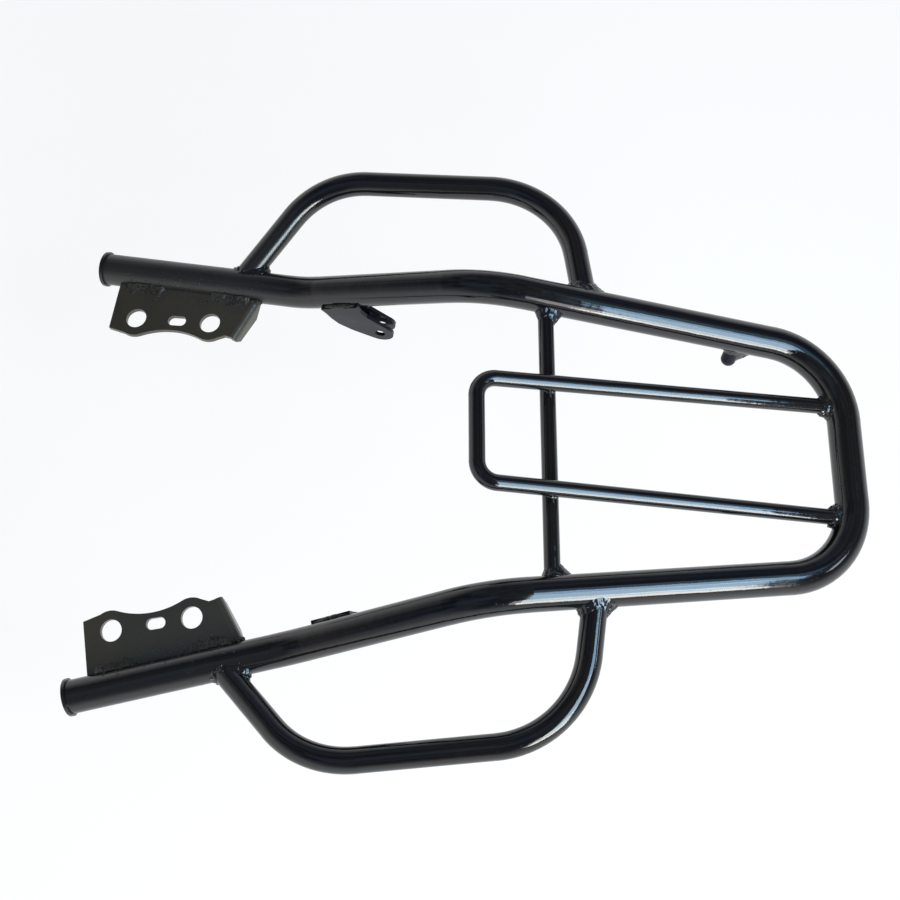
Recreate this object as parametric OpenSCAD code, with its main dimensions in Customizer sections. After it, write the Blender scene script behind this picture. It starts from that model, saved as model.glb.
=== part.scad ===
// Rear luggage rack with two grab handles, welded from bent steel tube.
// The load platform is level, +X points to the rear of the motorcycle and +Z points up.
// Left is the side of negative Y. The right side is the left side mirrored.

/* [Tubes and rods] */
// Outside diameter of the main tube
main_d = 25.4; // [22:0.2:28]
// Wall thickness of the main tube
main_wall = 2; // [1.2:0.1:3]
// Outside diameter of the grab handle tube
handle_d = 19; // [16:0.5:21]
// Wall thickness of the grab handle tube
handle_wall = 1.5; // [1:0.1:2.5]
// Diameter of the solid rod of the cross bar, the inner loop and the strap pegs
rod_d = 12; // [9:0.5:13]

/* [Main tube] */
// Length of the level rails, from their front bend to the rear bar
platform_len = 286; // [260:1:340]
// Level length of the sloping run in front of the platform
slope_len = 125; // [105:1:160]
// Level length of the front arm
arm_len = 155.6; // [148:0.2:200]
// Height that the sloping run climbs
slope_rise = 92; // [70:1:110]
// Height that the front arm climbs
arm_rise = 58.1; // [40:0.1:80]
// Half the distance between the centrelines at the rear bar
rear_half = 88; // [76:1:100]
// Half the distance between the centrelines at the front of the platform
front_half = 120; // [110:1:130]
// Half the distance between the centrelines where the slope meets the arm
bend_half = 143; // [134:1:150]
// Half the distance between the centrelines at the capped ends
cap_half = 175.5; // [160:0.5:190]
// Bend radius at both ends of the sloping run
run_bend_r = 92; // [60:1:110]
// Bend radius of the two rear corners
corner_r = 62; // [48:1:72]

/* [Grab handles] */
// Distance of the front foot from the capped end, along the arm
handle_front_foot = 113.4; // [106:0.2:122]
// Distance of the rear foot behind the front of the platform, along the rail
handle_rear_foot = 80; // [72:1:100]
// Distance of the front corner ahead of the front of the platform
handle_front_x = 117; // [105:1:130]
// Half the width over the front corners
handle_front_half = 230; // [215:1:245]
// Depth of the front corner below the platform
handle_front_drop = 66; // [50:1:80]
// Distance of the rear corner behind the front of the platform
handle_rear_x = 68; // [55:1:80]
// Half the width over the rear corners
handle_rear_half = 214; // [205:1:230]
// Depth of the rear corner below the platform
handle_rear_drop = 11; // [0:1:25]
// Bend radius of both corners
handle_bend_r = 73; // [55:1:80]

/* [Cross bar and inner loop] */
// Distance of the cross bar behind the front of the platform
cross_x = 48; // [44:1:62]
// Depth of the cross bar below the rails' centrelines
cross_drop = 2; // [0:0.5:5]
// Distance of the loop's front bar ahead of the front of the platform
loop_front_x = 10; // [0:1:20]
// Half the distance between the loop's legs at the front
loop_front_half = 39.5; // [32:0.5:46]
// Half the distance between the loop's legs at the rear bar
loop_rear_half = 45; // [38:0.5:52]
// Slope of the loop down to the rear bar, in degrees
loop_tilt = 2.9; // [1:0.1:3.5]
// Bend radius of the loop's two corners
loop_bend_r = 15; // [12:0.5:20]

/* [Mounting plates] */
// Thickness of the pressed plate
plate_t = 4; // [3:0.5:5]
// Distance of the plate's front edge from the capped end
plate_front = 14; // [12:0.5:18]
// Reach of the plate's front corner from the arm's centreline
plate_reach = 53; // [50:0.5:56]
// Diameter of the two bolt holes
bolt_hole_d = 16.5; // [12:0.5:18]
// Distance of the front bolt hole from the capped end
front_hole_s = 37.2; // [35.4:0.2:42]
// Distance of the front bolt hole from the arm's centreline
front_hole_t = 41.8; // [40:0.2:43]
// Distance between the two bolt holes
hole_pitch = 62.2; // [58:0.2:66]
// Angle of the line of holes to the arm, in degrees
hole_skew = 3.6; // [0:0.1:5]
// Radius of the lobe round each bolt hole
lobe_r = 15.1; // [12.5:0.1:16]
// Height of the dip between the lobes above the line of holes
dip_h = 8.6; // [7:0.1:10]
// Length of the slot between the holes
slot_len = 15; // [12:0.5:18]
// Width of the slot between the holes
slot_w = 8.5; // [6:0.5:9]
// Distance of the slot's middle behind the middle between the holes
slot_shift = 3.4; // [0:0.2:5]
// Distance of the fold from the rear bolt hole, along the arm
fold_gap = 24; // [20:0.5:27]
// Angle of the fold to a line square with the arm, in degrees
fold_angle = 17; // [8:1:24]
// Distance of the fold's outer end beyond the rear bolt hole, square with the arm
fold_side = 11.2; // [10:0.2:14]
// Inside radius of the fold
fold_r = 1.5; // [1:0.5:4]
// Depth of the flat flange below its fold
flange_depth = 8.5; // [6:0.5:16]

/* [Stay brackets] */
// Sheet thickness of the bracket
stay_t = 3; // [2:0.5:3.5]
// Clear width between the bracket's two ears
stay_gap = 5.5; // [4:0.5:7]
// Diameter of the cross hole in the ears
stay_hole_d = 8.5; // [6:0.5:9]
// Distance of the cross hole behind the bend under which the bracket starts
stay_hole_x = 66; // [60:0.5:72]
// Reach of the ears from their foot on the tube to the cross hole
stay_reach = 51; // [44:0.5:54]
// Depth of the cross hole below that bend
stay_hole_drop = 4; // [0:0.5:8]
// Radius of the ears' round ends
stay_end_r = 11; // [9:0.5:12]

/* [Strap pegs] */
// Distance of the peg behind the front of the platform, along the rail
peg_at = 205; // [190:1:212]
// Reach of the peg from the rail's centreline to the middle of its round end
peg_reach = 22; // [19:0.5:26]
// Angle of the peg below the level, in degrees
peg_angle = 60; // [40:1:80]

/* [End caps] */
// Diameter of the cap's rim
cap_d = 28.4; // [28.2:0.1:32]
// Thickness of the cap's rim
cap_t = 3; // [2.5:0.1:5]
// Length of the plug inside the tube
plug_len = 12; // [8:1:20]
// Wall thickness of the cap's pressed cup
cap_wall = 1.5; // [1:0.1:2]
// Clearance between the plug and the bore, on the radius
plug_gap = 0.1; // [0.05:0.05:0.3]

/* [Welds] */
// Radius of the weld beads round the tubes
tube_bead_r = 3; // [2:0.1:3.6]
// Radius of the weld beads round the rods
rod_bead_r = 2.6; // [1.6:0.1:2.8]
// Length of each stitch between a plate and its arm
stitch_len = 34; // [20:1:38]
// Distance of the front stitch from the plate's front edge
stitch_inset = 6; // [3:0.5:10]

/* [Hidden] */
$fn = 96;

main_r = main_d / 2;
handle_r = handle_d / 2;
rod_r = rod_d / 2;
up = [0, 0, 1];
// How far a cut runs past the face that it opens
past = 1;
// How far a straight run reaches into a bend, and how much a bend is thicker than it
lap = 0.4;
swell = 0.06;
// A length that reaches past everything near by
far = 60;
// Facets of the round cutters that shape the welds
fine = 180;
paint = "#2b2d30";
weld_paint = "#333538";

// Vectors
function unit(v) = v / norm(v);
function flip(p) = [p.x, -p.y, p.z];
function turn(a, b, c) = acos(max(-1, min(1, unit(b - a) * unit(c - b))));

// Corners of the left half of the main tube's centreline
tube_end = [-slope_len - arm_len, -cap_half, -slope_rise - arm_rise];
arm_bend = [-slope_len, -bend_half, -slope_rise];
rail_bend = [0, -front_half, 0];
rear_corner = [platform_len, -rear_half, 0];

arm_dir = unit(arm_bend - tube_end);
slope_dir = unit(rail_bend - arm_bend);
rail_dir = unit(rear_corner - rail_bend);

// Corners of the left grab handle's centreline
handle_a = tube_end + arm_dir * handle_front_foot;
handle_b = [-handle_front_x, -handle_front_half, -handle_front_drop];
handle_c = [handle_rear_x, -handle_rear_half, -handle_rear_drop];
handle_d_end = rail_bend + rail_dir * handle_rear_foot;

// The rack's own frame: the origin lies midway along it, at the level of its lowest point.
// The front and the lowest point are both on the round edge of the cap's rim.
cap_edge = 1;
function rim_low(d, at) = at - d * (cap_t - cap_edge)
    - (cap_d / 2 - cap_edge) * sqrt(1 - d * d) - cap_edge;
front_end = rim_low(arm_dir.x, tube_end.x);
low_end = rim_low(arm_dir.z, tube_end.z);
rear_end = platform_len + main_r + swell;
home = [-(front_end + rear_end) / 2, 0, -low_end];

// Placing

// Puts local X, Y and Z along three given directions, at a point
module axes(at, x, y, z)
    multmatrix([[x.x, y.x, z.x, at.x], [x.y, y.y, z.y, at.y], [x.z, y.z, z.z, at.z]])
        children();

// Puts local Z along a direction, with local X near a second one
module along(at, z, near) {
    y = unit(cross(z, near));
    axes(at, cross(y, z), y, z) children();
}

module seat(tone = paint) color(tone) translate(home) children();

module right() mirror([0, 1, 0]) children();

// Bent bars

module straight(a, b, r)
    along(a, unit(b - a), abs(unit(b - a).z) > 0.9 ? [1, 0, 0] : up)
        cylinder(h = norm(b - a), r = r);

// The round bend at corner b of the path a, b, c
module bend(a, b, c, bend_r, r) {
    angle = turn(a, b, c);
    inward = unit(unit(a - b) + unit(c - b));
    centre = b + inward * bend_r / cos(angle / 2);
    start = b + unit(a - b) * bend_r * tan(angle / 2);
    x = unit(start - centre);
    z = unit(cross(x, unit(b - a)));
    axes(centre, x, cross(z, x), z)
        rotate_extrude(angle = angle) translate([bend_r, 0]) circle(r = r);
}

// How much of a straight run each bend takes up
function taken(path, radii, i) = i == 0 || i == len(path) - 1 ? 0
    : radii[i - 1] * tan(turn(path[i - 1], path[i], path[i + 1]) / 2) - lap;

module bent_bar(path, radii, r)
    union() {
        for (i = [0 : len(path) - 2]) {
            d = unit(path[i + 1] - path[i]);
            straight(path[i] + d * taken(path, radii, i),
                     path[i + 1] - d * taken(path, radii, i + 1), r);
        }
        for (i = [1 : len(path) - 2])
            bend(path[i - 1], path[i], path[i + 1], radii[i - 1], r + swell);
    }

// The same path with both ends moved outward, for a bore that opens at both ends
function longer(path, extra) = let (n = len(path) - 1)
    [for (i = [0 : n]) i == 0 ? path[0] + unit(path[0] - path[1]) * extra
        : i == n ? path[n] + unit(path[n] - path[n - 1]) * extra
        : path[i]];

module bent_tube(path, radii, r, wall)
    difference() {
        bent_bar(path, radii, r);
        bent_bar(longer(path, past), radii, r - wall);
    }

// Solid bars in the place of the main tube's runs, to cope other parts to them
module arm_run() straight(tube_end, arm_bend, main_r);
module slope_run() straight(arm_bend, rail_bend, main_r);
module rail_run() straight(rail_bend, rear_corner, main_r);
module rear_run()
    bent_bar([rail_bend, rear_corner, flip(rear_corner), flip(rail_bend)],
             [corner_r, corner_r], main_r);

// Weld beads

// How far a bead's middle stands off the corner that it fills, as a share of its radius
bead_lift = 0.25;
// Radius of a bead's closed end, as a share of its own
bead_end = 0.6;
// Rings of a bead round a tube, round a rod, and where two rods cross
tube_rings = 32;
rod_rings = 22;
crossing_rings = 20;
// Height of the ripples, as a share of the bead's radius
ripple_share = 0.1;
// How much further a bead climbs its branch than it spreads on the bar
bead_flare = 1.8;

// Bead radius at ring i: the ripples of one pass after another
function ripple(r, i) = r * (1 + ripple_share * (i % 2 == 0 ? 1 : -1));

// A bead that closes on itself: rings of points round a closed centreline.
// Each section lies in the plane of its two directions.
module closed_bead(centres, firsts, seconds, r, sides = 6) {
    n = len(centres);
    points = [for (i = [0 : n - 1]) for (k = [0 : sides - 1])
        centres[i] + ripple(r, i) * (cos(360 * k / sides) * firsts[i]
            + sin(360 * k / sides) * seconds[i])];
    faces = [for (i = [0 : n - 1]) for (k = [0 : sides - 1])
        let (a = i * sides + k, b = i * sides + (k + 1) % sides,
             c = ((i + 1) % n) * sides + (k + 1) % sides, d = ((i + 1) % n) * sides + k)
        each [[a, b, c], [a, c, d]]];
    polyhedron(points, faces);
}

// A straight bead with closed ends, from a to b
module straight_bead(a, b, r, step = 4, sides = 6) {
    n = max(3, round(norm(b - a) / step));
    z = unit(b - a);
    x = unit(cross(z, up));
    y = cross(z, x);
    points = [for (i = [0 : n]) for (k = [0 : sides - 1])
        a + (b - a) * i / n + (i == 0 || i == n ? bead_end * r : ripple(r, i))
            * (cos(360 * k / sides) * x + sin(360 * k / sides) * y)];
    skin = [for (i = [0 : n - 1]) for (k = [0 : sides - 1])
        let (p = i * sides + k, q = i * sides + (k + 1) % sides)
        each [[p, q + sides, q], [p, p + sides, q + sides]]];
    front = [for (k = [0 : sides - 1]) k];
    back = [for (k = [sides - 1 : -1 : 0]) n * sides + k];
    polyhedron(points, concat(skin, [front], [back]));
}

// The curve in which a branch of radius r leaves a bar of radius bar_r. The branch runs
// from a point along d, off is that point less one on the bar's centreline, and f is the
// angle round the branch.
function round_branch(d, bar, f) = let (v = unit(cross(d, bar)), u = cross(v, d))
    cos(f) * u + sin(f) * v;
function square_to(v, bar) = v - (v * bar) * bar;
function branch_reach(off, d, bar, r, bar_r, f) =
    let (w = square_to(off + r * round_branch(d, bar, f), bar), q = square_to(d, bar),
         half = w * q)
    (-half + sqrt(half * half - (q * q) * (w * w - bar_r * bar_r))) / (q * q);

// The bead round a branch's foot, before the two bars are cut out of it. The branch
// starts at a point, and the bar's centreline passes through another.
module saddle_bead(at, on, d, bar, r, bead_r, rings) {
    turns = [for (i = [0 : rings - 1]) -360 * i / rings];
    outs = [for (f = turns) round_branch(d, bar, f)];
    feet = [for (i = [0 : rings - 1])
        at + r * outs[i] + branch_reach(at - on, d, bar, r, main_r, turns[i]) * d];
    lifts = [for (i = [0 : rings - 1])
        let (n = unit(square_to(feet[i] - on, bar)))
        unit(n - (n * outs[i]) * outs[i])];
    centres = [for (i = [0 : rings - 1])
        feet[i] + bead_lift * bead_r * (outs[i] + lifts[i])];
    closed_bead(centres, outs, bead_flare * lifts, bead_r);
}

// Main tube

main_path = [tube_end, arm_bend, rail_bend, rear_corner,
             flip(rear_corner), flip(rail_bend), flip(arm_bend), flip(tube_end)];
main_radii = [run_bend_r, run_bend_r, corner_r, corner_r, run_bend_r, run_bend_r];

module main_tube() seat() bent_tube(main_path, main_radii, main_r, main_wall);

// Cross bar and inner loop

cross_end = [cross_x, -front_half + (front_half - rear_half) * cross_x / platform_len,
             -cross_drop];

module cross_bar()
    seat() difference() {
        straight(cross_end, flip(cross_end), rod_r);
        rail_run();
        right() rail_run();
    }

// Gap between the loop and the cross bar, which their welds bridge
crossing_gap = 0.05;
// Height of the loop's centreline where its legs cross the cross bar
crossing_z = -cross_drop + (rod_d + crossing_gap) / cos(loop_tilt);
function loop_z(x) = crossing_z - (x - cross_x) * tan(loop_tilt);
loop_front = [-loop_front_x, -loop_front_half, loop_z(-loop_front_x)];
// The legs may meet the rear bar where its corner has begun to bend
corner_taken = corner_r * tan(turn(rail_bend, rear_corner, flip(rear_corner)) / 2);
loop_turn = asin(max(0, loop_rear_half - rear_half + corner_taken) / corner_r);
loop_rear_x = platform_len - corner_r * (1 - cos(loop_turn));
loop_rear = [loop_rear_x, -loop_rear_half, loop_z(loop_rear_x)];
loop_dir = unit(loop_rear - loop_front);
loop_path = [loop_rear, loop_front, flip(loop_front), flip(loop_rear)];

module inner_loop()
    seat() difference() {
        bent_bar(loop_path, [loop_bend_r, loop_bend_r], rod_r);
        rear_run();
    }

// Grab handles

handle_path = [handle_a, handle_b, handle_c, handle_d_end];

module grab_handle()
    seat() difference() {
        bent_tube(handle_path, [handle_bend_r, handle_bend_r], handle_r, handle_wall);
        arm_run();
        rail_run();
    }

// Mounting plates
// Local X runs back along the arm from its capped end, local Y points inward and level,
// and local Z is square with the plate. The plate's middle plane holds the centreline.

arm_in = unit([-arm_dir.y, arm_dir.x, 0]);
arm_up = cross(arm_dir, arm_in);
front_hole = [front_hole_s, front_hole_t];
hole_dir = [cos(hole_skew), -sin(hole_skew)];
hole_out = [sin(hole_skew), cos(hole_skew)];
rear_hole = front_hole + hole_pitch * hole_dir;
mid_hole = (front_hole + rear_hole) / 2;

// The dip is an arc that touches both lobes
dip_r = (pow(hole_pitch / 2, 2) + dip_h * dip_h - lobe_r * lobe_r) / (2 * (lobe_r - dip_h));
dip_centre = mid_hole + (dip_r + dip_h) * hole_out;
function dip_touch(hole) = hole + lobe_r * (dip_centre - hole) / (dip_r + lobe_r);

// The fold: its outer end, the direction in which it runs to the tube, and the way out
fold_end = rear_hole + [fold_gap, fold_side];
fold_run = [sin(fold_angle), -cos(fold_angle)];
fold_out = [cos(fold_angle), sin(fold_angle)];
bend_w = fold_r + plate_t;
flat_end = fold_end - bend_w * fold_out;
// The flat sheet reaches this far into the fold
fold_lap = 0.2;
lapped_end = flat_end + fold_lap * fold_out;
// Length of the fold, which runs a little way into the tube's place and is coped to it
fold_bite = 1;
fold_len = (fold_end.y - main_r + fold_bite) / cos(fold_angle);

// The front edge leans back from the arm's centreline to the front corner
front_lean = 2.9;
front_foot = [plate_front, 0];
front_corner = [plate_front + front_lean, plate_reach];
// The straight edges touch the lobes at these angles, and one ends ahead of the fold
front_touch = front_hole + lobe_r * [-sin(25), cos(25)];
rear_touch = rear_hole + lobe_r * [sin(20), cos(20)];
shoulder = flat_end - [4, 0.4];
// The rear edge runs on along the fold to the arm's centreline
rear_foot = [lapped_end.x + lapped_end.y * tan(fold_angle), 0];

module plate_outline()
    difference() {
        union() {
            polygon([front_foot, front_corner, front_touch, dip_touch(front_hole),
                     dip_touch(rear_hole), rear_touch, shoulder, lapped_end,
                     lapped_end + fold_run * fold_len, rear_foot]);
            for (hole = [front_hole, rear_hole]) translate(hole) circle(r = lobe_r);
        }
        translate(dip_centre) circle(r = dip_r, $fn = fine);
        for (hole = [front_hole, rear_hole]) translate(hole) circle(d = bolt_hole_d);
        translate(mid_hole + slot_shift * hole_dir) rotate(-hole_skew) plate_slot();
    }

module plate_slot()
    union() {
        square([slot_len - slot_w, slot_w], center = true);
        for (x = [-1, 1]) translate([x * (slot_len - slot_w) / 2, 0]) circle(d = slot_w);
    }

// Outline of the flange: X runs along the fold to the tube, Y is the depth.
// Its lower corners are given as shares of the fold's length and the flange's depth.
flange_corners = [[0.1, 0.7], [0.7, 1], [0.88, 0.4]];
flange_outline = concat([[0, -fold_lap]],
    [for (c = flange_corners) [c.x * fold_len, c.y * flange_depth]], [[fold_len, -fold_lap]]);

// The right-angled bend and the flange below it, in the frame of the fold
module folded_flange() {
    rotate_extrude(angle = 90) translate([fold_r - swell, 0])
        square([plate_t + 2 * swell, fold_len]);
    translate([bend_w, 0, 0]) rotate([0, -90, 0])
        linear_extrude(plate_t) polygon([for (p = flange_outline) [p.x, -p.y]]);
}

module mount_plate()
    seat() axes(tube_end, arm_dir, arm_in, arm_up) difference() {
        union() {
            translate([0, 0, -plate_t / 2]) linear_extrude(plate_t) plate_outline();
            axes([flat_end.x, flat_end.y, -plate_t / 2 - fold_r],
                 [fold_out.x, fold_out.y, 0], up, [fold_run.x, fold_run.y, 0])
                folded_flange();
        }
        translate([-past, 0, 0]) rotate([0, 90, 0])
            cylinder(h = norm(arm_bend - tube_end) + past, r = main_r);
    }

// Stay brackets
// Local X runs back below the slope, local Y points inward and level, local Z is up.

slope_level = unit([slope_dir.x, slope_dir.y, 0]);
slope_in = cross(up, slope_level);
slope_tan = slope_dir.z / (slope_dir * slope_level);
stay_hole = [stay_hole_x, -stay_hole_drop];
stay_width = stay_gap + 2 * stay_t;

// Where the ears start and stop along the slope's centreline
ear_start = stay_hole.x - stay_reach;
ear_stop = stay_hole.x - 0.49 * stay_reach;
// The pressed lower and upper edges, as offsets from the cross hole in shares of the reach
lower_shares = [[-0.9, 0.2], [-0.8, 0.08], [-0.66, -0.04], [-0.43, -0.13], [-0.25, -0.17]];
upper_shares = [[-0.29, 0.42], [-0.41, 0.54]];
lower_edge = [for (p = lower_shares) stay_hole + stay_reach * p];
upper_edge = [for (p = upper_shares) stay_hole + stay_reach * p];
// The straight edges touch the round end at these angles
lower_touch = stay_hole + stay_end_r * [-sin(12), -cos(12)];
upper_touch = stay_hole + stay_end_r * [sin(24), cos(24)];

// Seen from the side: the ears leave the tube's side and end round the cross hole
module ear_outline()
    union() {
        translate(stay_hole) circle(r = stay_end_r);
        polygon(concat([[ear_start, ear_start * slope_tan]], lower_edge,
                       [lower_touch, upper_touch], upper_edge,
                       [[ear_stop, ear_stop * slope_tan]]));
    }

// What is cut out between the ears: all but the web along the lower edge
web_chord = unit(lower_edge[len(lower_edge) - 1] - lower_edge[0]);
web_edge = [for (p = lower_edge) p + stay_t * [-web_chord.y, web_chord.x]];
web_stop = web_edge[len(web_edge) - 1].x;
module channel_outline()
    polygon(concat([[web_edge[0].x, far]], web_edge,
                   [[web_stop, -far], [2 * far, -far], [2 * far, far]]));

// An outline in X and Z as a plate from y1 to y2
module upright(y1, y2)
    translate([0, y2, 0]) rotate([90, 0, 0]) linear_extrude(y2 - y1) children();

module stay_bracket()
    seat() difference() {
        axes(arm_bend, slope_level, slope_in, up) difference() {
            upright(main_r - stay_t - stay_gap, main_r + stay_t) ear_outline();
            upright(main_r - stay_gap, main_r) channel_outline();
            translate([stay_hole.x, main_r + stay_t + past, stay_hole.y])
                rotate([90, 0, 0]) cylinder(h = stay_width + 2 * past, d = stay_hole_d);
        }
        slope_run();
    }

// Strap pegs

rail_in = cross(up, rail_dir);
peg_foot = rail_bend + rail_dir * peg_at;
peg_dir = cos(peg_angle) * rail_in - sin(peg_angle) * up;

// Half of the peg's section: a bar with a half-round end
module peg_section()
    union() {
        square([rod_r, peg_reach]);
        translate([0, peg_reach]) intersection() {
            circle(r = rod_r);
            square(rod_d);
        }
    }

module strap_peg()
    seat() difference() {
        along(peg_foot, peg_dir, rail_dir) rotate_extrude() peg_section();
        rail_run();
    }

// End caps
// Local Z points out of the tube. The cup is pressed in and closes the tube.

// A shallow dish is pressed into the cap's face, inside its rim
dish_depth = 0.5;
dish_rim = 4;

module cap_section() {
    rim_r = cap_d / 2;
    plug_r = main_r - main_wall - plug_gap;
    difference() {
        union() {
            square([rim_r - cap_edge, cap_t]);
            square([rim_r, cap_t - cap_edge]);
            translate([rim_r - cap_edge, cap_t - cap_edge]) circle(r = cap_edge);
            translate([0, -plug_len]) square([plug_r, plug_len + cap_edge]);
        }
        translate([-past, -plug_len - past])
            square([plug_r - cap_wall + past, plug_len + past + cap_t - 2 * cap_wall]);
        translate([-past, cap_t - dish_depth]) square([rim_r - dish_rim + past, past]);
    }
}

module end_cap()
    seat() along(tube_end, -arm_dir, up)
        rotate_extrude() cap_section();

// Welds

// The bead round a branch's foot on one of the main tube's runs, which is the child
module foot_weld(at, on, d, bar, r, bead_r, rings)
    seat(weld_paint) difference() {
        saddle_bead(at, on, d, bar, r, bead_r, rings);
        children();
        straight(at, at + far * d, r, $fn = fine);
    }

module handle_front_weld()
    foot_weld(handle_a, handle_a, unit(handle_b - handle_a), arm_dir, handle_r,
              tube_bead_r, tube_rings) arm_run($fn = fine);

module handle_rear_weld()
    foot_weld(handle_d_end, handle_d_end, unit(handle_c - handle_d_end), rail_dir,
              handle_r, tube_bead_r, tube_rings) rail_run($fn = fine);

module cross_bar_weld()
    foot_weld(cross_end, cross_end + cross_drop * up, [0, 1, 0], rail_dir, rod_r,
              rod_bead_r, rod_rings) rail_run($fn = fine);

module peg_weld()
    foot_weld(peg_foot, peg_foot, peg_dir, rail_dir, rod_r, rod_bead_r,
              rod_rings) rail_run($fn = fine);

module loop_end_weld()
    foot_weld(loop_rear, [loop_rear.x, loop_rear.y, 0], -loop_dir,
              [sin(loop_turn), cos(loop_turn), 0], rod_r, rod_bead_r,
              rod_rings) rear_run($fn = fine);

// A ring of weld round the spot where a leg of the loop lies on the cross bar.
// The ring and its bead are given as shares of the rod's radius and of the rods' bead.
crossing_ring = 0.72;
crossing_bead = 0.8;

module loop_crossing_weld() {
    share = (cross_x - loop_front.x) / (loop_rear.x - loop_front.x);
    over = loop_front + (loop_rear - loop_front) * share;
    middle = [over.x, over.y, (over.z - cross_drop) / 2];
    ring_r = crossing_ring * rod_r;
    turns = [for (i = [0 : crossing_rings - 1]) 360 * i / crossing_rings];
    seat(weld_paint) difference() {
        closed_bead([for (f = turns) middle + ring_r * [cos(f), sin(f), 0]],
                    [for (f = turns) [cos(f), sin(f), 0]], [for (f = turns) up],
                    crossing_bead * rod_bead_r);
        straight(loop_front, loop_rear, rod_r);
        straight(cross_end, flip(cross_end), rod_r);
    }
}

// How far a stitch stands off the tube, and how far it stops short of an edge
stitch_off = 0.5;
stitch_stop = 2;

// Two stitches above and two below the line where the plate meets the arm
module plate_weld()
    seat(weld_paint) axes(tube_end, arm_dir, arm_in, arm_up) difference() {
        for (side = [-1, 1]) {
            line = [0, sqrt(main_r * main_r - plate_t * plate_t / 4) + stitch_off,
                    side * (plate_t / 2 + stitch_off)];
            front = plate_front + stitch_inset;
            rear = rear_foot.x - main_r * tan(fold_angle) - stitch_stop;
            straight_bead(line + [front, 0, 0], line + [front + stitch_len, 0, 0],
                          rod_bead_r);
            straight_bead(line + [rear - stitch_len, 0, 0], line + [rear, 0, 0],
                          rod_bead_r);
        }
        translate([0, 0, -plate_t / 2]) cube([far + rear_foot.x, plate_reach, plate_t]);
        rotate([0, 90, 0]) cylinder(h = norm(arm_bend - tube_end), r = main_r);
    }

// A stitch along the upper edge of the bracket's inner ear
module bracket_weld() {
    reach = (main_r + stitch_off) * slope_in;
    run = slope_level + up * slope_tan;
    a = arm_bend + (ear_start + stitch_stop) * run + reach;
    b = arm_bend + (ear_stop - stitch_stop) * run + reach;
    seat(weld_paint) difference() {
        straight_bead(a, b, rod_bead_r);
        slope_run();
        axes(arm_bend, slope_level, slope_in, up)
            upright(main_r, main_r + stay_t) ear_outline();
    }
}

main_tube();
cross_bar();
inner_loop();
grab_handle();  // grab_handle_left
right() grab_handle();  // grab_handle_right
mount_plate();  // mount_plate_left
right() mount_plate();  // mount_plate_right
stay_bracket();  // stay_bracket_left
right() stay_bracket();  // stay_bracket_right
strap_peg();  // strap_peg_left
right() strap_peg();  // strap_peg_right
end_cap();  // end_cap_left
right() end_cap();  // end_cap_right
handle_front_weld();  // handle_front_weld_left
right() handle_front_weld();  // handle_front_weld_right
handle_rear_weld();  // handle_rear_weld_left
right() handle_rear_weld();  // handle_rear_weld_right
cross_bar_weld();  // cross_bar_weld_left
right() cross_bar_weld();  // cross_bar_weld_right
loop_end_weld();  // loop_end_weld_left
right() loop_end_weld();  // loop_end_weld_right
loop_crossing_weld();  // loop_crossing_weld_left
right() loop_crossing_weld();  // loop_crossing_weld_right
plate_weld();  // plate_weld_left
right() plate_weld();  // plate_weld_right
bracket_weld();  // bracket_weld_left
right() bracket_weld();  // bracket_weld_right
peg_weld();  // peg_weld_left
right() peg_weld();  // peg_weld_right
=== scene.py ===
import math
import random

import bmesh
import bpy
from mathutils import Matrix, Vector, noise


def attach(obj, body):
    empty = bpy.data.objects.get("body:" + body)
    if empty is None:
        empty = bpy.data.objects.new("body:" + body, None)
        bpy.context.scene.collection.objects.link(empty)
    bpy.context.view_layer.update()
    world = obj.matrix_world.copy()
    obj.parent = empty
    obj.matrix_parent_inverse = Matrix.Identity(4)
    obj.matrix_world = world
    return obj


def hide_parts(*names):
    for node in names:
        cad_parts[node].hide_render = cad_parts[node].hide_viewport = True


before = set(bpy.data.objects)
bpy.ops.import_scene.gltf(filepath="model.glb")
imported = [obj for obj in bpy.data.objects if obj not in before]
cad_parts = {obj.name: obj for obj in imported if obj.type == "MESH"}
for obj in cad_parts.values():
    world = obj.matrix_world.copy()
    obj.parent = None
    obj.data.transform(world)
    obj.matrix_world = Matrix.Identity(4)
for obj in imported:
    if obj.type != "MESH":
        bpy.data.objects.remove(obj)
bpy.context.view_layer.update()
MM = 0.001
SIDES = ("left", "right")
UP = Vector((0, 0, 1))
TO_RIGHT = Vector((0, 1, 0))


def unit(v):
    return v.normalized()


# Sizes that the part's source also has, on the left side. HOME is where the source's
# origin lies in the row's frame.
HOME = Vector((-5.064485, 0, 164.184400))
MAIN_R = 12.7
HANDLE_R = 9.5
ROD_R = 6.0
ROD_BEAD_R = 2.6
PLATE_T = 4.0

TUBE_END = Vector((-280.6, -175.5, -150.1))
ARM_BEND = Vector((-125, -143, -92))
RAIL_BEND = Vector((0, -120, 0))
REAR_CORNER = Vector((286, -88, 0))
REAR_CORNER_R = 62.0
HANDLE_FRONT_BEND = Vector((-117, -230, -66))
HANDLE_REAR_BEND = Vector((68, -214, -11))

# Directions along, square to and over the arm, the slope and the rail. SLOPE_RUN is the
# way along the slope for each millimetre of level run.
ARM_DIR = unit(ARM_BEND - TUBE_END)
SLOPE_DIR = unit(RAIL_BEND - ARM_BEND)
RAIL_DIR = unit(REAR_CORNER - RAIL_BEND)
ARM_IN = unit(Vector((-ARM_DIR.y, ARM_DIR.x, 0)))
ARM_UP = ARM_DIR.cross(ARM_IN)
SLOPE_LEVEL = unit(Vector((SLOPE_DIR.x, SLOPE_DIR.y, 0)))
SLOPE_IN = UP.cross(SLOPE_LEVEL)
SLOPE_RUN = SLOPE_LEVEL + UP * (SLOPE_DIR.z / SLOPE_DIR.dot(SLOPE_LEVEL))
RAIL_IN = UP.cross(RAIL_DIR)

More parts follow.
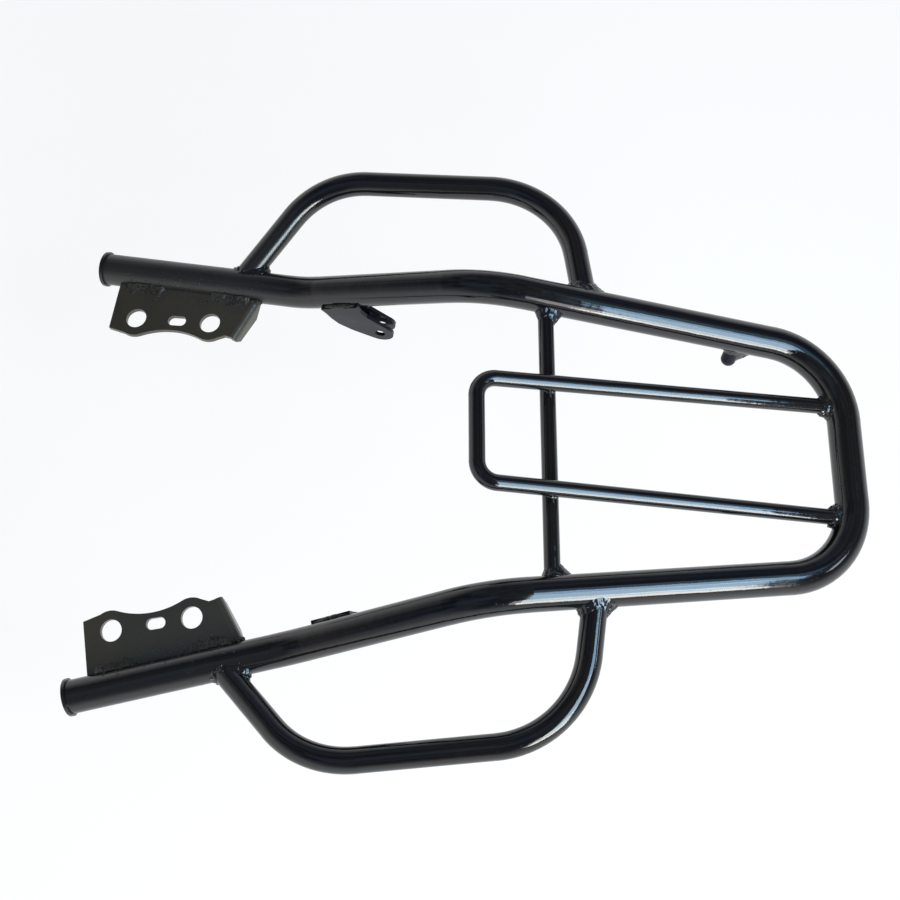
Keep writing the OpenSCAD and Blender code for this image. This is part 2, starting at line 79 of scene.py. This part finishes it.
# Feet of the handle, the strap peg and the cross bar
HANDLE_FRONT_ALONG = 113.4
HANDLE_FRONT_FOOT = TUBE_END + ARM_DIR * HANDLE_FRONT_ALONG
HANDLE_REAR_FOOT = RAIL_BEND + RAIL_DIR * 80
PEG_FOOT = RAIL_BEND + RAIL_DIR * 205
PEG_TILT = math.radians(60)
PEG_DIR = math.cos(PEG_TILT) * RAIL_IN - math.sin(PEG_TILT) * UP
CROSS_X = 48
CROSS_Z = -2
RAIL_TAPER = REAR_CORNER.y - RAIL_BEND.y
CROSS_END = Vector((CROSS_X, RAIL_BEND.y + RAIL_TAPER * CROSS_X / REAR_CORNER.x, CROSS_Z))

# The inner loop lies on the cross bar, and its feet are where the rear corner has begun
# to bend
LOOP_TILT = math.radians(2.9)
LOOP_SLOPE = math.tan(LOOP_TILT)
LOOP_GAP = 0.05
LOOP_FRONT_X = -10
LOOP_FRONT_Y = -39.5
LOOP_REAR_Y = -45
CROSSING_Z = CROSS_Z + (2 * ROD_R + LOOP_GAP) / math.cos(LOOP_TILT)
CORNER_START = REAR_CORNER_R * math.tan(RAIL_DIR.angle(TO_RIGHT) / 2)
LOOP_TURN = math.asin((REAR_CORNER.y - LOOP_REAR_Y + CORNER_START) / REAR_CORNER_R)
LOOP_REAR_X = REAR_CORNER.x - REAR_CORNER_R * (1 - math.cos(LOOP_TURN))
LOOP_REAR = Vector((LOOP_REAR_X, LOOP_REAR_Y,
                    CROSSING_Z - (LOOP_REAR_X - CROSS_X) * LOOP_SLOPE))
LOOP_FRONT = Vector((LOOP_FRONT_X, LOOP_FRONT_Y,
                     CROSSING_Z + (CROSS_X - LOOP_FRONT_X) * LOOP_SLOPE))
LOOP_DIR = unit(LOOP_REAR - LOOP_FRONT)
CROSSING_SHARE = (CROSS_X - LOOP_FRONT_X) / (LOOP_REAR_X - LOOP_FRONT_X)
CROSSING = LOOP_FRONT + (LOOP_REAR - LOOP_FRONT) * CROSSING_SHARE


# Node helpers

def new_material(name):
    m = bpy.data.materials.new(name)
    m.use_nodes = True
    tree = m.node_tree
    return m, tree, tree.nodes["Principled BSDF"]


def noise_node(tree, coords, scale, detail=2.0, rough=0.5):
    """Scale is in features a metre where the coordinates are an object's."""
    n = tree.nodes.new("ShaderNodeTexNoise")
    n.inputs["Scale"].default_value = scale
    n.inputs["Detail"].default_value = detail
    n.inputs["Roughness"].default_value = rough
    tree.links.new(coords, n.inputs["Vector"])
    return n.outputs["Fac"]


def ramp(tree, value, low, high, to_low=0.0, to_high=1.0):
    n = tree.nodes.new("ShaderNodeMapRange")
    n.interpolation_type = "SMOOTHSTEP"
    n.inputs["From Min"].default_value = low
    n.inputs["From Max"].default_value = high
    n.inputs["To Min"].default_value = to_low
    n.inputs["To Max"].default_value = to_high
    tree.links.new(value, n.inputs["Value"])
    return n.outputs["Result"]


def blend(tree, share, a, b):
    n = tree.nodes.new("ShaderNodeMix")
    n.data_type = "RGBA"
    tree.links.new(share, n.inputs["Factor"])
    for socket, colour in ((n.inputs["A"], a), (n.inputs["B"], b)):
        if isinstance(colour, tuple):
            socket.default_value = (*colour, 1)
        else:
            tree.links.new(colour, socket)
    return n.outputs["Result"]


def joined(tree, operation, a, b):
    n = tree.nodes.new("ShaderNodeMath")
    n.operation = operation
    n.use_clamp = True
    tree.links.new(a, n.inputs[0])
    tree.links.new(b, n.inputs[1])
    return n.outputs[0]


def bump(tree, height, distance, strength, before=None):
    n = tree.nodes.new("ShaderNodeBump")
    n.inputs["Distance"].default_value = distance
    n.inputs["Strength"].default_value = strength
    tree.links.new(height, n.inputs["Height"])
    if before is not None:
        tree.links.new(before, n.inputs["Normal"])
    return n.outputs["Normal"]


# Paints

# Colour of dust, also used for the painted sheen that pales the front end
DUST_AND_SHEEN_COLOUR = (0.060, 0.056, 0.048)
DULLEST = 2.2
PAINT_IOR = 1.6


def paint(name, cool, warm, gloss, peel, dust, nib=0.5, front_sheen=0.0, level=0.5, patch=14):
    """Gloss black paint, in patches of two near-blacks. Its roughness runs from gloss to
    DULLEST times that. Orange peel and nibs have the strengths given, over slow waves and
    streaks from the tube mill. Dust dulls it in spots. A painted sheen makes it paler and
    duller at the rack's front end, most on the right side. Level is its specular level,
    patch the scale of its patches."""
    m, tree, shader = new_material(name)
    coords = tree.nodes.new("ShaderNodeTexCoord").outputs["Object"]
    patches = ramp(tree, noise_node(tree, coords, patch, detail=3.0), 0.4, 0.6)
    base = blend(tree, patches, cool, warm)
    spots = noise_node(tree, coords, 60, detail=5.0, rough=0.65)
    dust_and_sheen = ramp(tree, spots, 0.52, 0.8, to_high=dust)
    place = tree.nodes.new("ShaderNodeSeparateXYZ")
    tree.links.new(coords, place.inputs[0])
    # Painted sheen: the paint turns paler and duller towards the rack's front end, most on
    # the right side
    front = ramp(tree, place.outputs["X"], -0.20, -0.10, to_low=front_sheen, to_high=0.0)
    right = ramp(tree, place.outputs["Y"], -0.05, 0.05, to_low=0.3)
    front_sheen_share = joined(tree, "MULTIPLY", front, right)
    dust_and_sheen = joined(tree, "ADD", dust_and_sheen, front_sheen_share)
    base = blend(tree, dust_and_sheen, base, DUST_AND_SHEEN_COLOUR)
    tree.links.new(base, shader.inputs["Base Color"])
    worn = noise_node(tree, coords, 45, detail=4.0)
    rough = ramp(tree, worn, 0.3, 0.75, to_low=gloss, to_high=DULLEST * gloss)
    tree.links.new(joined(tree, "ADD", rough, front_sheen_share), shader.inputs["Roughness"])
    # The tube mill leaves long shallow streaks along the rack
    stretch = tree.nodes.new("ShaderNodeMapping")
    stretch.inputs["Scale"].default_value = (0.09, 1.0, 1.0)
    tree.links.new(coords, stretch.inputs["Vector"])
    streaks = noise_node(tree, stretch.outputs["Vector"], 150)
    relief = bump(tree, streaks, distance=0.00035, strength=0.30)
    waves = noise_node(tree, coords, 36, detail=3.0)
    relief = bump(tree, waves, distance=0.0008, strength=0.34, before=relief)
    grain = noise_node(tree, coords, 420)
    relief = bump(tree, grain, distance=0.00012, strength=peel, before=relief)
    specks = ramp(tree, noise_node(tree, coords, 700, detail=1.0), 0.72, 0.80)
    relief = bump(tree, specks, distance=0.00010, strength=nib, before=relief)
    tree.links.new(relief, shader.inputs["Normal"])
    shader.inputs["IOR"].default_value = PAINT_IOR
    shader.inputs["Specular IOR Level"].default_value = level
    return m


TUBE_PAINT = paint("gloss_black_paint", (0.0050, 0.0062, 0.0080), (0.0085, 0.0072, 0.0068),
                   gloss=0.055, peel=0.10, dust=0.06, nib=0.3, front_sheen=0.26)
PLATE_PAINT = paint("plate_black_paint", (0.056, 0.049, 0.036), (0.072, 0.056, 0.037),
                    gloss=0.13, peel=0.40, dust=0.30)
BRACKET_PAINT = paint("bracket_black_paint", (0.007, 0.007, 0.013), (0.028, 0.022, 0.032),
                      gloss=0.10, peel=0.60, dust=0.45, nib=0.8, level=0.15)
# The seam paint's black patches, a millimetre or two across, are painted shade in the pits of
# the stitches
SEAM_PAINT = paint("seam_black_paint", (0.010, 0.010, 0.009), (0.050, 0.042, 0.031),
                   gloss=0.32, peel=0.8, dust=0.15, level=0.35, patch=640)
CAP_PAINT = paint("cap_black_paint", (0.008, 0.009, 0.010), (0.012, 0.011, 0.010),
                  gloss=0.13, peel=0.25, dust=0.20)
WELD_PAINT = paint("painted_weld", (0.006, 0.008, 0.010), (0.012, 0.011, 0.010),
                   gloss=0.08, peel=0.50, dust=0.15)


def give(obj, material):
    obj.data.materials.clear()
    obj.data.materials.append(material)


for name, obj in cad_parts.items():
    if "weld" in name:
        give(obj, WELD_PAINT)
    elif name.startswith("mount_plate"):
        give(obj, PLATE_PAINT)
    elif name.startswith(("stay_bracket", "strap_peg")):
        give(obj, BRACKET_PAINT)
    elif name.startswith("end_cap"):
        give(obj, CAP_PAINT)
    else:
        give(obj, TUBE_PAINT)


# Mesh helpers

def put(side, p):
    """A point of the left side, in metres, in the row frame, on the left or right side."""
    q = (p + HOME) * MM
    return Vector((q.x, q.y if side == "left" else -q.y, q.z))


def shown(name, data):
    obj = bpy.data.objects.new(name, data)
    bpy.context.scene.collection.objects.link(obj)
    return obj


def finish_mesh(name, bm, material, replaced=None):
    bmesh.ops.recalc_face_normals(bm, faces=bm.faces)
    mesh = bpy.data.meshes.new(name)
    bm.to_mesh(mesh)
    bm.free()
    for f in mesh.polygons:
        f.use_smooth = True
    obj = shown(name, mesh)
    give(obj, material)
    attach(obj, "root")
    if replaced:
        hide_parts(replaced)


def noise_at(p, scale, seed, axis=0):
    """Noise at a point, in features a millimetre, shifted by the seed along an axis."""
    shift = Vector((0, 0, 0))
    shift[axis] = seed
    return noise.noise(p * scale + shift)


def square_to(v, bar):
    return v - v.dot(bar) * bar


def scallop(turn):
    """Height of one pass of the weld on the next, from 0 at its edge to 1 at its crown."""
    return math.sqrt(max(0.0, 1 - (2 * (turn % 1.0) - 1) ** 2))


def taper(u, rate, least):
    """Share of its full size that a bead has at u of its length, less near its two ends."""
    return math.sqrt(max(least, min(1.0, min(u, 1 - u) * rate)))


def loop_of_rings(bm, rings, closed):
    """Skins rings of vertices. An open run of rings is closed by a cap at each end."""
    n = len(rings)
    sides = len(rings[0])
    for i in range(n if closed else n - 1):
        a, b = rings[i], rings[(i + 1) % n]
        for k in range(sides):
            bm.faces.new((a[k], a[(k + 1) % sides], b[(k + 1) % sides], b[k]))
    if not closed:
        bm.faces.new(rings[0][::-1])
        bm.faces.new(rings[-1])


# Weld beads

RINGS_A_PASS = 6
RING_SIDES = 14
FILLET_STEPS = 10
EDGE_SINK = 0.15


def bead_rings(bm, side, centres, firsts, seconds, radius, passes, seed, closed):
    """A round bead along its centres. Each section lies in its first and second direction."""
    n = len(centres)
    rings = []
    for i in range(n):
        u = i / (n if closed else n - 1)
        crown = scallop(u * passes)
        end = 1.0 if closed else taper(u, rate=2.6, least=0.03)
        ring = []
        for k in range(RING_SIDES):
            f = math.tau * k / RING_SIDES
            out = math.cos(f) * firsts[i] + math.sin(f) * seconds[i]
            p = centres[i] + out * radius
            lump = noise_at(p, 0.35, seed)
            grit = noise_at(p, 1.3, seed, axis=1)
            r = radius * end * (0.90 + 0.09 * crown + 0.22 * lump + 0.06 * grit)
            ring.append(bm.verts.new(put(side, centres[i] + out * r)))
        rings.append(ring)
    loop_of_rings(bm, rings, closed)


def fillet_ring(bm, side, foot, to_bar, to_branch, outward, spread, climb, bulge, seed,
                pitted=0.5, lumpy=0.8):
    """One section of a fillet in the corner at foot, whose outward direction leads out of
    the metal. It runs from the bar to the branch over a curve that is hollow where bulge
    is small and full where it is near 1, and its edges sink in so that no gap shows."""
    a = foot + spread * to_bar - EDGE_SINK * outward
    b = foot + climb * to_branch - EDGE_SINK * outward
    middle = (a + b) / 2
    control = foot + (middle - foot) * bulge
    away = unit(middle - foot)
    ring = []
    for k in range(FILLET_STEPS + 1):
        t = k / FILLET_STEPS
        p = (1 - t) ** 2 * a + 2 * t * (1 - t) * control + t ** 2 * b
        lump = noise_at(p, 0.45, seed)
        pit = noise_at(p, 0.9, seed, axis=1)
        p = p + away * 4 * t * (1 - t) * (lumpy * lump - pitted * max(0.0, pit))
        ring.append(bm.verts.new(put(side, p)))
    ring.append(bm.verts.new(put(side, foot - outward)))
    return ring


def saddle_fillet(name, side, at, on, d, bar, r, legs, heavy, extra, passes, seed,
                  lumpy=0.8):
    """The weld round the foot of a branch of radius r, which leaves at in direction d, on
    a bar of radius MAIN_R through on. Legs are its spread on the bar and its climb up the
    branch; towards heavy they grow by extra."""
    v = unit(d.cross(bar))
    u = v.cross(d)
    q = square_to(d, bar)
    count = passes * RINGS_A_PASS
    rings = []
    bm = bmesh.new()
    for i in range(count):
        f = -math.tau * i / count
        out = math.cos(f) * u + math.sin(f) * v
        # Where a line on the branch's surface comes out of the bar
        w = square_to(at - on + r * out, bar)
        half = w.dot(q)
        reach = (-half + math.sqrt(half * half - q.dot(q) * (w.dot(w) - MAIN_R ** 2)))
        foot = at + r * out + reach / q.dot(q) * d
        n = unit(square_to(foot - on, bar))
        crown = scallop(passes * i / count)
        wander = noise_at(foot, 0.25, seed, axis=2)
        share = max(0.0, out.dot(heavy)) ** 2
        spread = (legs[0] + share * extra[0]) * (0.94 + 0.08 * crown + 0.30 * wander)
        climb = (legs[1] + share * extra[1]) * (0.94 + 0.08 * crown - 0.25 * wander)
        to_bar = unit(out - out.dot(n) * n)
        # The leg on the bar follows the bar's round surface
        end = foot + spread * to_bar
        round_n = unit(square_to(end - on, bar))
        end = on + (end - on).dot(bar) * bar + MAIN_R * round_n
        rings.append(fillet_ring(bm, side, foot, unit(end - foot), d, n + 0.3 * out,
                                 spread=(end - foot).length, climb=climb,
                                 bulge=0.72 + 0.22 * crown, seed=seed, lumpy=lumpy))
    loop_of_rings(bm, rings, closed=True)
    finish_mesh(name, bm, WELD_PAINT, name.replace("bead", "weld"))


def seam_fillet(bm, side, a, b, to_bar, to_branch, legs, count, seed):
    """A pitted stitch in the straight corner between two surfaces, with closed ends."""
    outward = unit(to_bar + to_branch)
    rings = []
    for i in range(count + 1):
        u = i / count
        foot = a + (b - a) * u
        end = taper(u, rate=10, least=0.02)
        wander = noise_at(foot, 0.16, seed, axis=1)
        toe = noise_at(foot, 0.45, seed, axis=2)
        spread = end * legs[0] * (0.9 + 0.6 * wander + 0.08 * toe)
        climb = end * legs[1] * (0.9 - 0.4 * wander + 0.05 * toe)
        rings.append(fillet_ring(bm, side, foot, to_bar, to_branch, outward, spread, climb,
                                 bulge=0.9, seed=seed, pitted=1.0))
    loop_of_rings(bm, rings, closed=False)


def stitch(bm, side, a, b, near, radius, passes, seed):
    """A straight round bead with closed ends."""
    z = unit(b - a)
    x = unit(z.cross(near))
    y = z.cross(x)
    count = passes * RINGS_A_PASS
    centres = []
    for i in range(count + 1):
        p = a + (b - a) * i / count
        wander = Vector([noise_at(p, 0.2, seed + k * 9) for k in range(3)])
        centres.append(p + 0.5 * square_to(wander, z))
    n = len(centres)
    bead_rings(bm, side, centres, [x] * n, [y] * n, radius, passes, seed, closed=False)


def loop_crossing_bead(side, seed):
    """The ring of weld where a leg of the loop lies on the cross bar."""
    passes = 12
    count = 84
    middle = Vector((CROSSING.x, CROSSING.y, (CROSSING.z + CROSS_Z) / 2))
    turns = [math.tau * i / count for i in range(count)]
    outs = [Vector((math.cos(f), math.sin(f), 0)) for f in turns]
    bm = bmesh.new()
    bead_rings(bm, side, [middle + 0.72 * ROD_R * o for o in outs], outs, [UP] * count,
               0.8 * ROD_BEAD_R, passes, seed, closed=True)
    finish_mesh(f"loop_crossing_bead_{side}", bm, WELD_PAINT,
                f"loop_crossing_weld_{side}")


STITCH_STARTS = (20, 92.9)
STITCH_LENGTH = 34
STITCH_LEGS = (7.5, 4.0)
STITCH_RINGS = 72
BLOB_ALONG, BLOB_IN, BLOB_UP = 131.5, 13.2, 0.4
BLOB_SIZE = (4.6, 3.0, 3.0)


def plate_bead(side, seed, blob_seed):
    """Four stitches between the plate and the arm, wider on the plate than on the arm, and
    the blob at the foot of the plate's fold."""
    bm = bmesh.new()
    edge = math.sqrt(MAIN_R ** 2 - PLATE_T ** 2 / 4)
    for level in (-1, 1):
        line = TUBE_END + edge * ARM_IN + level * PLATE_T / 2 * ARM_UP
        up_tube = unit(edge * level * ARM_UP - PLATE_T / 2 * ARM_IN)
        for start in STITCH_STARTS:
            seam_fillet(bm, side, line + start * ARM_DIR,
                        line + (start + STITCH_LENGTH) * ARM_DIR,
                        ARM_IN, up_tube, STITCH_LEGS, STITCH_RINGS, seed + level + start)
    at = TUBE_END + BLOB_ALONG * ARM_DIR + BLOB_IN * ARM_IN + BLOB_UP * ARM_UP
    long, wide, high = BLOB_SIZE
    for v in bmesh.ops.create_icosphere(bm, subdivisions=4, radius=1.0)["verts"]:
        q = v.co.x * long * ARM_DIR + v.co.y * wide * ARM_IN + v.co.z * high * ARM_UP
        q *= 1 + 0.35 * noise_at(at + q, 0.4, blob_seed)
        v.co = put(side, at + q)
    finish_mesh(f"plate_bead_{side}", bm, SEAM_PAINT, f"plate_weld_{side}")


BRACKET_BEAD_START = 17
BRACKET_BEAD_END = 39
BRACKET_BEAD_IN = 13.2


def bracket_bead(side, seed):
    """The stitch between the stay bracket and the slope."""
    line = BRACKET_BEAD_IN * SLOPE_IN
    bm = bmesh.new()
    stitch(bm, side, ARM_BEND + BRACKET_BEAD_START * SLOPE_RUN + line,
           ARM_BEND + BRACKET_BEAD_END * SLOPE_RUN + line, UP, ROD_BEAD_R,
           passes=8, seed=seed)
    finish_mesh(f"bracket_bead_{side}", bm, SEAM_PAINT,
                f"bracket_weld_{side}")


BEAD_SEED = {"left": 3.7, "right": 41.3}

for side in SIDES:
    seed = BEAD_SEED[side]
    saddle_fillet(f"handle_front_bead_{side}", side, HANDLE_FRONT_FOOT, HANDLE_FRONT_FOOT,
                  unit(HANDLE_FRONT_BEND - HANDLE_FRONT_FOOT), ARM_DIR, HANDLE_R,
                  legs=(3.0, 4.0), heavy=ARM_DIR, extra=(4.0, 4.0), passes=17, seed=seed,
                  lumpy=1.9)
    saddle_fillet(f"handle_rear_bead_{side}", side, HANDLE_REAR_FOOT, HANDLE_REAR_FOOT,
                  unit(HANDLE_REAR_BEND - HANDLE_REAR_FOOT), RAIL_DIR, HANDLE_R,
                  legs=(3.5, 6.0), heavy=RAIL_DIR, extra=(4.5, 2.5), passes=17,
                  seed=seed + 2)
    saddle_fillet(f"cross_bar_bead_{side}", side, CROSS_END, CROSS_END - CROSS_Z * UP,
                  TO_RIGHT, RAIL_DIR, ROD_R,
                  legs=(2.6, 6.5), heavy=RAIL_DIR, extra=(5.0, 3.0), passes=11,
                  seed=seed + 4)
    saddle_fillet(f"peg_bead_{side}", side, PEG_FOOT, PEG_FOOT, PEG_DIR, RAIL_DIR, ROD_R,
                  legs=(2.6, 3.5), heavy=RAIL_DIR, extra=(6.5, 6.5), passes=11,
                  seed=seed + 6)
    saddle_fillet(f"loop_end_bead_{side}", side, LOOP_REAR,
                  Vector((LOOP_REAR.x, LOOP_REAR.y, 0)), -LOOP_DIR,
                  Vector((math.sin(LOOP_TURN), math.cos(LOOP_TURN), 0)), ROD_R,
                  legs=(3.8, 5.5), heavy=TO_RIGHT, extra=(2.5, 2.5), passes=11,
                  seed=seed + 8, lumpy=2.4)
    loop_crossing_bead(side, seed + 10)
    plate_bead(side, seed + 12, seed)
    bracket_bead(side, seed + 14)


# Spatter: droplets of weld metal under the paint, near the seams

def droplet(bm, side, at, out, r):
    """A flat round drop on a surface whose way out is given."""
    x = unit(out.cross(ARM_DIR))
    y = out.cross(x)
    verts = bmesh.ops.create_icosphere(bm, subdivisions=2, radius=1.0)["verts"]
    for v in verts:
        p = at + r * (v.co.x * x + v.co.y * y + 0.6 * v.co.z * out)
        v.co = put(side, p)


SPATTER_SEED = {"left": 11, "right": 29}

for side in SIDES:
    rng = random.Random(SPATTER_SEED[side])
    bm = bmesh.new()
    # On the arm beside the seam, above the plate
    for _ in range(46):
        along = rng.uniform(20, 122)
        turn = math.radians(rng.triangular(14, 70, 20))
        out = math.cos(turn) * ARM_IN + math.sin(turn) * ARM_UP
        droplet(bm, side, TUBE_END + along * ARM_DIR + MAIN_R * out, out,
                rng.uniform(0.35, 0.9))
    # On the plate's upper face
    for _ in range(30):
        along = rng.uniform(24, 112)
        away = rng.triangular(14, 26, 15)
        at = TUBE_END + along * ARM_DIR + away * ARM_IN + PLATE_T / 2 * ARM_UP
        droplet(bm, side, at, ARM_UP, rng.uniform(0.3, 0.8))
    # Round the arm, before and behind the handle's foot
    for _ in range(26):
        turn = math.radians(rng.uniform(-60, 150))
        out = math.cos(turn) * ARM_UP - math.sin(turn) * ARM_IN
        along = HANDLE_FRONT_ALONG + rng.choice((-1, 1)) * rng.uniform(13, 24)
        droplet(bm, side, TUBE_END + along * ARM_DIR + MAIN_R * out, out,
                rng.uniform(0.3, 0.7))
    finish_mesh(f"spatter_{side}", bm, WELD_PAINT)


# Floor and world

WHITE = (1.0, 1.0, 1.0)
FLOOR_Z = -0.16
FLOOR_REACH = 8.0
FLOOR_COLOUR = (0.86, 0.86, 0.86)
SHADOW_GREY = (0.2, 0.2, 0.2)
SKY_COLOUR = (0.9, 0.95, 1.0)
SKY_STRENGTH = 0.10


def white_for_view(tree, lit, background):
    """Mixes the background for camera, glossy and transmission rays with the lit shader."""
    path = tree.nodes.new("ShaderNodeLightPath").outputs
    seen = joined(tree, "MAXIMUM", path["Is Camera Ray"], path["Is Glossy Ray"])
    seen = joined(tree, "MAXIMUM", seen, path["Is Transmission Ray"])
    mix = tree.nodes.new("ShaderNodeMixShader")
    tree.links.new(seen, mix.inputs[0])
    tree.links.new(lit, mix.inputs[1])
    tree.links.new(background, mix.inputs[2])
    return mix.outputs[0]


def make_floor():
    bm = bmesh.new()
    bmesh.ops.create_grid(bm, x_segments=2, y_segments=2, size=FLOOR_REACH)
    for v in bm.verts:
        v.co.z = FLOOR_Z
    mesh = bpy.data.meshes.new("floor")
    bm.to_mesh(mesh)
    bm.free()
    floor = shown("floor", mesh)
    m, tree, shader = new_material("floor_white")
    shader.inputs["Base Color"].default_value = (*FLOOR_COLOUR, 1)
    shader.inputs["Roughness"].default_value = 0.9
    shader.inputs["Specular IOR Level"].default_value = 0.0
    glow = tree.nodes.new("ShaderNodeEmission")
    glow.inputs["Color"].default_value = (*WHITE, 1)
    # Far off, where the lamps fall away, it glows up to the white of the world
    coords = tree.nodes.new("ShaderNodeTexCoord").outputs["Object"]
    away = tree.nodes.new("ShaderNodeVectorMath")
    away.operation = "LENGTH"
    tree.links.new(coords, away.inputs[0])
    strength = ramp(tree, away.outputs["Value"], 0.7, 2.6, to_low=0.86, to_high=1.0)
    tree.links.new(strength, glow.inputs["Strength"])
    # A grey diffuse share, added to the glow, takes the object's shadow
    grey = tree.nodes.new("ShaderNodeBsdfDiffuse")
    grey.inputs["Color"].default_value = (*SHADOW_GREY, 1)
    both = tree.nodes.new("ShaderNodeAddShader")
    tree.links.new(glow.outputs[0], both.inputs[0])
    tree.links.new(grey.outputs[0], both.inputs[1])
    out = tree.nodes["Material Output"].inputs["Surface"]
    tree.links.new(white_for_view(tree, shader.outputs[0], both.outputs[0]), out)
    give(floor, m)


def make_world():
    """A faint sky lights the object. The camera sees white, and reflections show white
    surroundings low down and a dark, uneven room above."""
    world = bpy.data.worlds.new("studio")
    bpy.context.scene.world = world
    world.use_nodes = True
    tree = world.node_tree
    tree.nodes.clear()
    lit = tree.nodes.new("ShaderNodeBackground")
    lit.inputs["Color"].default_value = (*SKY_COLOUR, 1)
    lit.inputs["Strength"].default_value = SKY_STRENGTH
    aim = tree.nodes.new("ShaderNodeTexCoord").outputs["Generated"]
    height = tree.nodes.new("ShaderNodeSeparateXYZ")
    tree.links.new(aim, height.inputs[0])
    low = ramp(tree, height.outputs["Z"], -0.05, 0.58, to_low=1.0, to_high=0.0)
    uneven = ramp(tree, noise_node(tree, aim, 3.2, detail=3.0), 0.36, 0.64)
    tint = ramp(tree, noise_node(tree, aim, 1.7, detail=1.0), 0.42, 0.58)
    pale = blend(tree, tint, (0.17, 0.17, 0.13), (0.18, 0.22, 0.33))
    room = blend(tree, uneven, (0.045, 0.036, 0.075), pale)
    around = blend(tree, low, room, WHITE)
    path = tree.nodes.new("ShaderNodeLightPath").outputs
    background = tree.nodes.new("ShaderNodeBackground")
    tree.links.new(blend(tree, path["Is Glossy Ray"], WHITE, around),
                   background.inputs["Color"])
    surface = tree.nodes.new("ShaderNodeOutputWorld").inputs["Surface"]
    tree.links.new(white_for_view(tree, lit.outputs[0], background.outputs[0]), surface)


make_floor()
make_world()


# The window

PANEL_AIM = Vector((0.05, 0.0, 0.165))


def panel(name, lean, tilt, wide, high, radiance, colour, distance=1.5):
    """A soft panel aimed at the load frame. Lean is the share of its direction that points
    to the rear, tilt its angle from straight up towards the left side, and wide runs along
    X as far as it can."""
    level = math.sqrt(1 - lean ** 2)
    t = math.radians(tilt)
    z = Vector((lean, -level * math.sin(t), level * math.cos(t)))
    x = unit(Vector((1, 0, 0)) - z.x * z)
    y = z.cross(x)
    light = bpy.data.lights.new(name, "AREA")
    light.shape = "RECTANGLE"
    light.size = wide
    light.size_y = high
    light.color = colour
    light.energy = radiance * math.pi * wide * high
    obj = shown(name, light)
    obj.matrix_world = Matrix((
        (x.x, y.x, z.x, 0), (x.y, y.y, z.y, 0), (x.z, y.z, z.z, 0), (0, 0, 0, 1)))
    obj.location = PANEL_AIM + z * distance


# Its sky is blue above, paler below and white low down, and dimmer strips lie to its
# front and its rear
panel("window_top", 0.42, -4, 0.60, 0.42, radiance=1.1, colour=(0.30, 0.66, 1.0))
panel("window_high", 0.43, 13, 0.60, 0.36, radiance=8.0, colour=(0.42, 0.70, 1.0))
panel("window_blue", 0.40, 33, 0.56, 0.66, radiance=9.5, colour=(0.60, 0.81, 1.0))
panel("window_pale", 0.39, 51, 0.60, 0.28, radiance=12.0, colour=(0.80, 0.94, 1.0))
panel("window_white", 0.38, 63.5, 0.66, 0.27, radiance=14.0, colour=(1.0, 0.97, 0.90),
      distance=1.4)
panel("window_side", 0.16, 56, 0.20, 0.50, radiance=4.0, colour=(1.0, 0.93, 0.88))
panel("window_rear", 0.76, 12, 0.14, 0.34, radiance=5.0, colour=(0.86, 0.94, 1.0))


# Camera at the photograph's place and angle, as solved from the tubes' edges

CAMERA_PLACE = (-0.234853, -0.333090, 1.066999)
CAMERA_TURN_DEG = (19.058194, -12.660621, -0.051214)
CAMERA_LENS = 54.645
CAMERA_SENSOR = 36
CAMERA_CLIP_START = 0.05

camera = bpy.data.cameras.new("camera")
camera.lens = CAMERA_LENS
camera.sensor_width = CAMERA_SENSOR
camera.clip_start = CAMERA_CLIP_START
eye = shown("camera", camera)
eye.location = CAMERA_PLACE
eye.rotation_euler = [math.radians(a) for a in CAMERA_TURN_DEG]
bpy.context.scene.camera = eye
bpy.context.scene.view_settings.view_transform = "Standard"
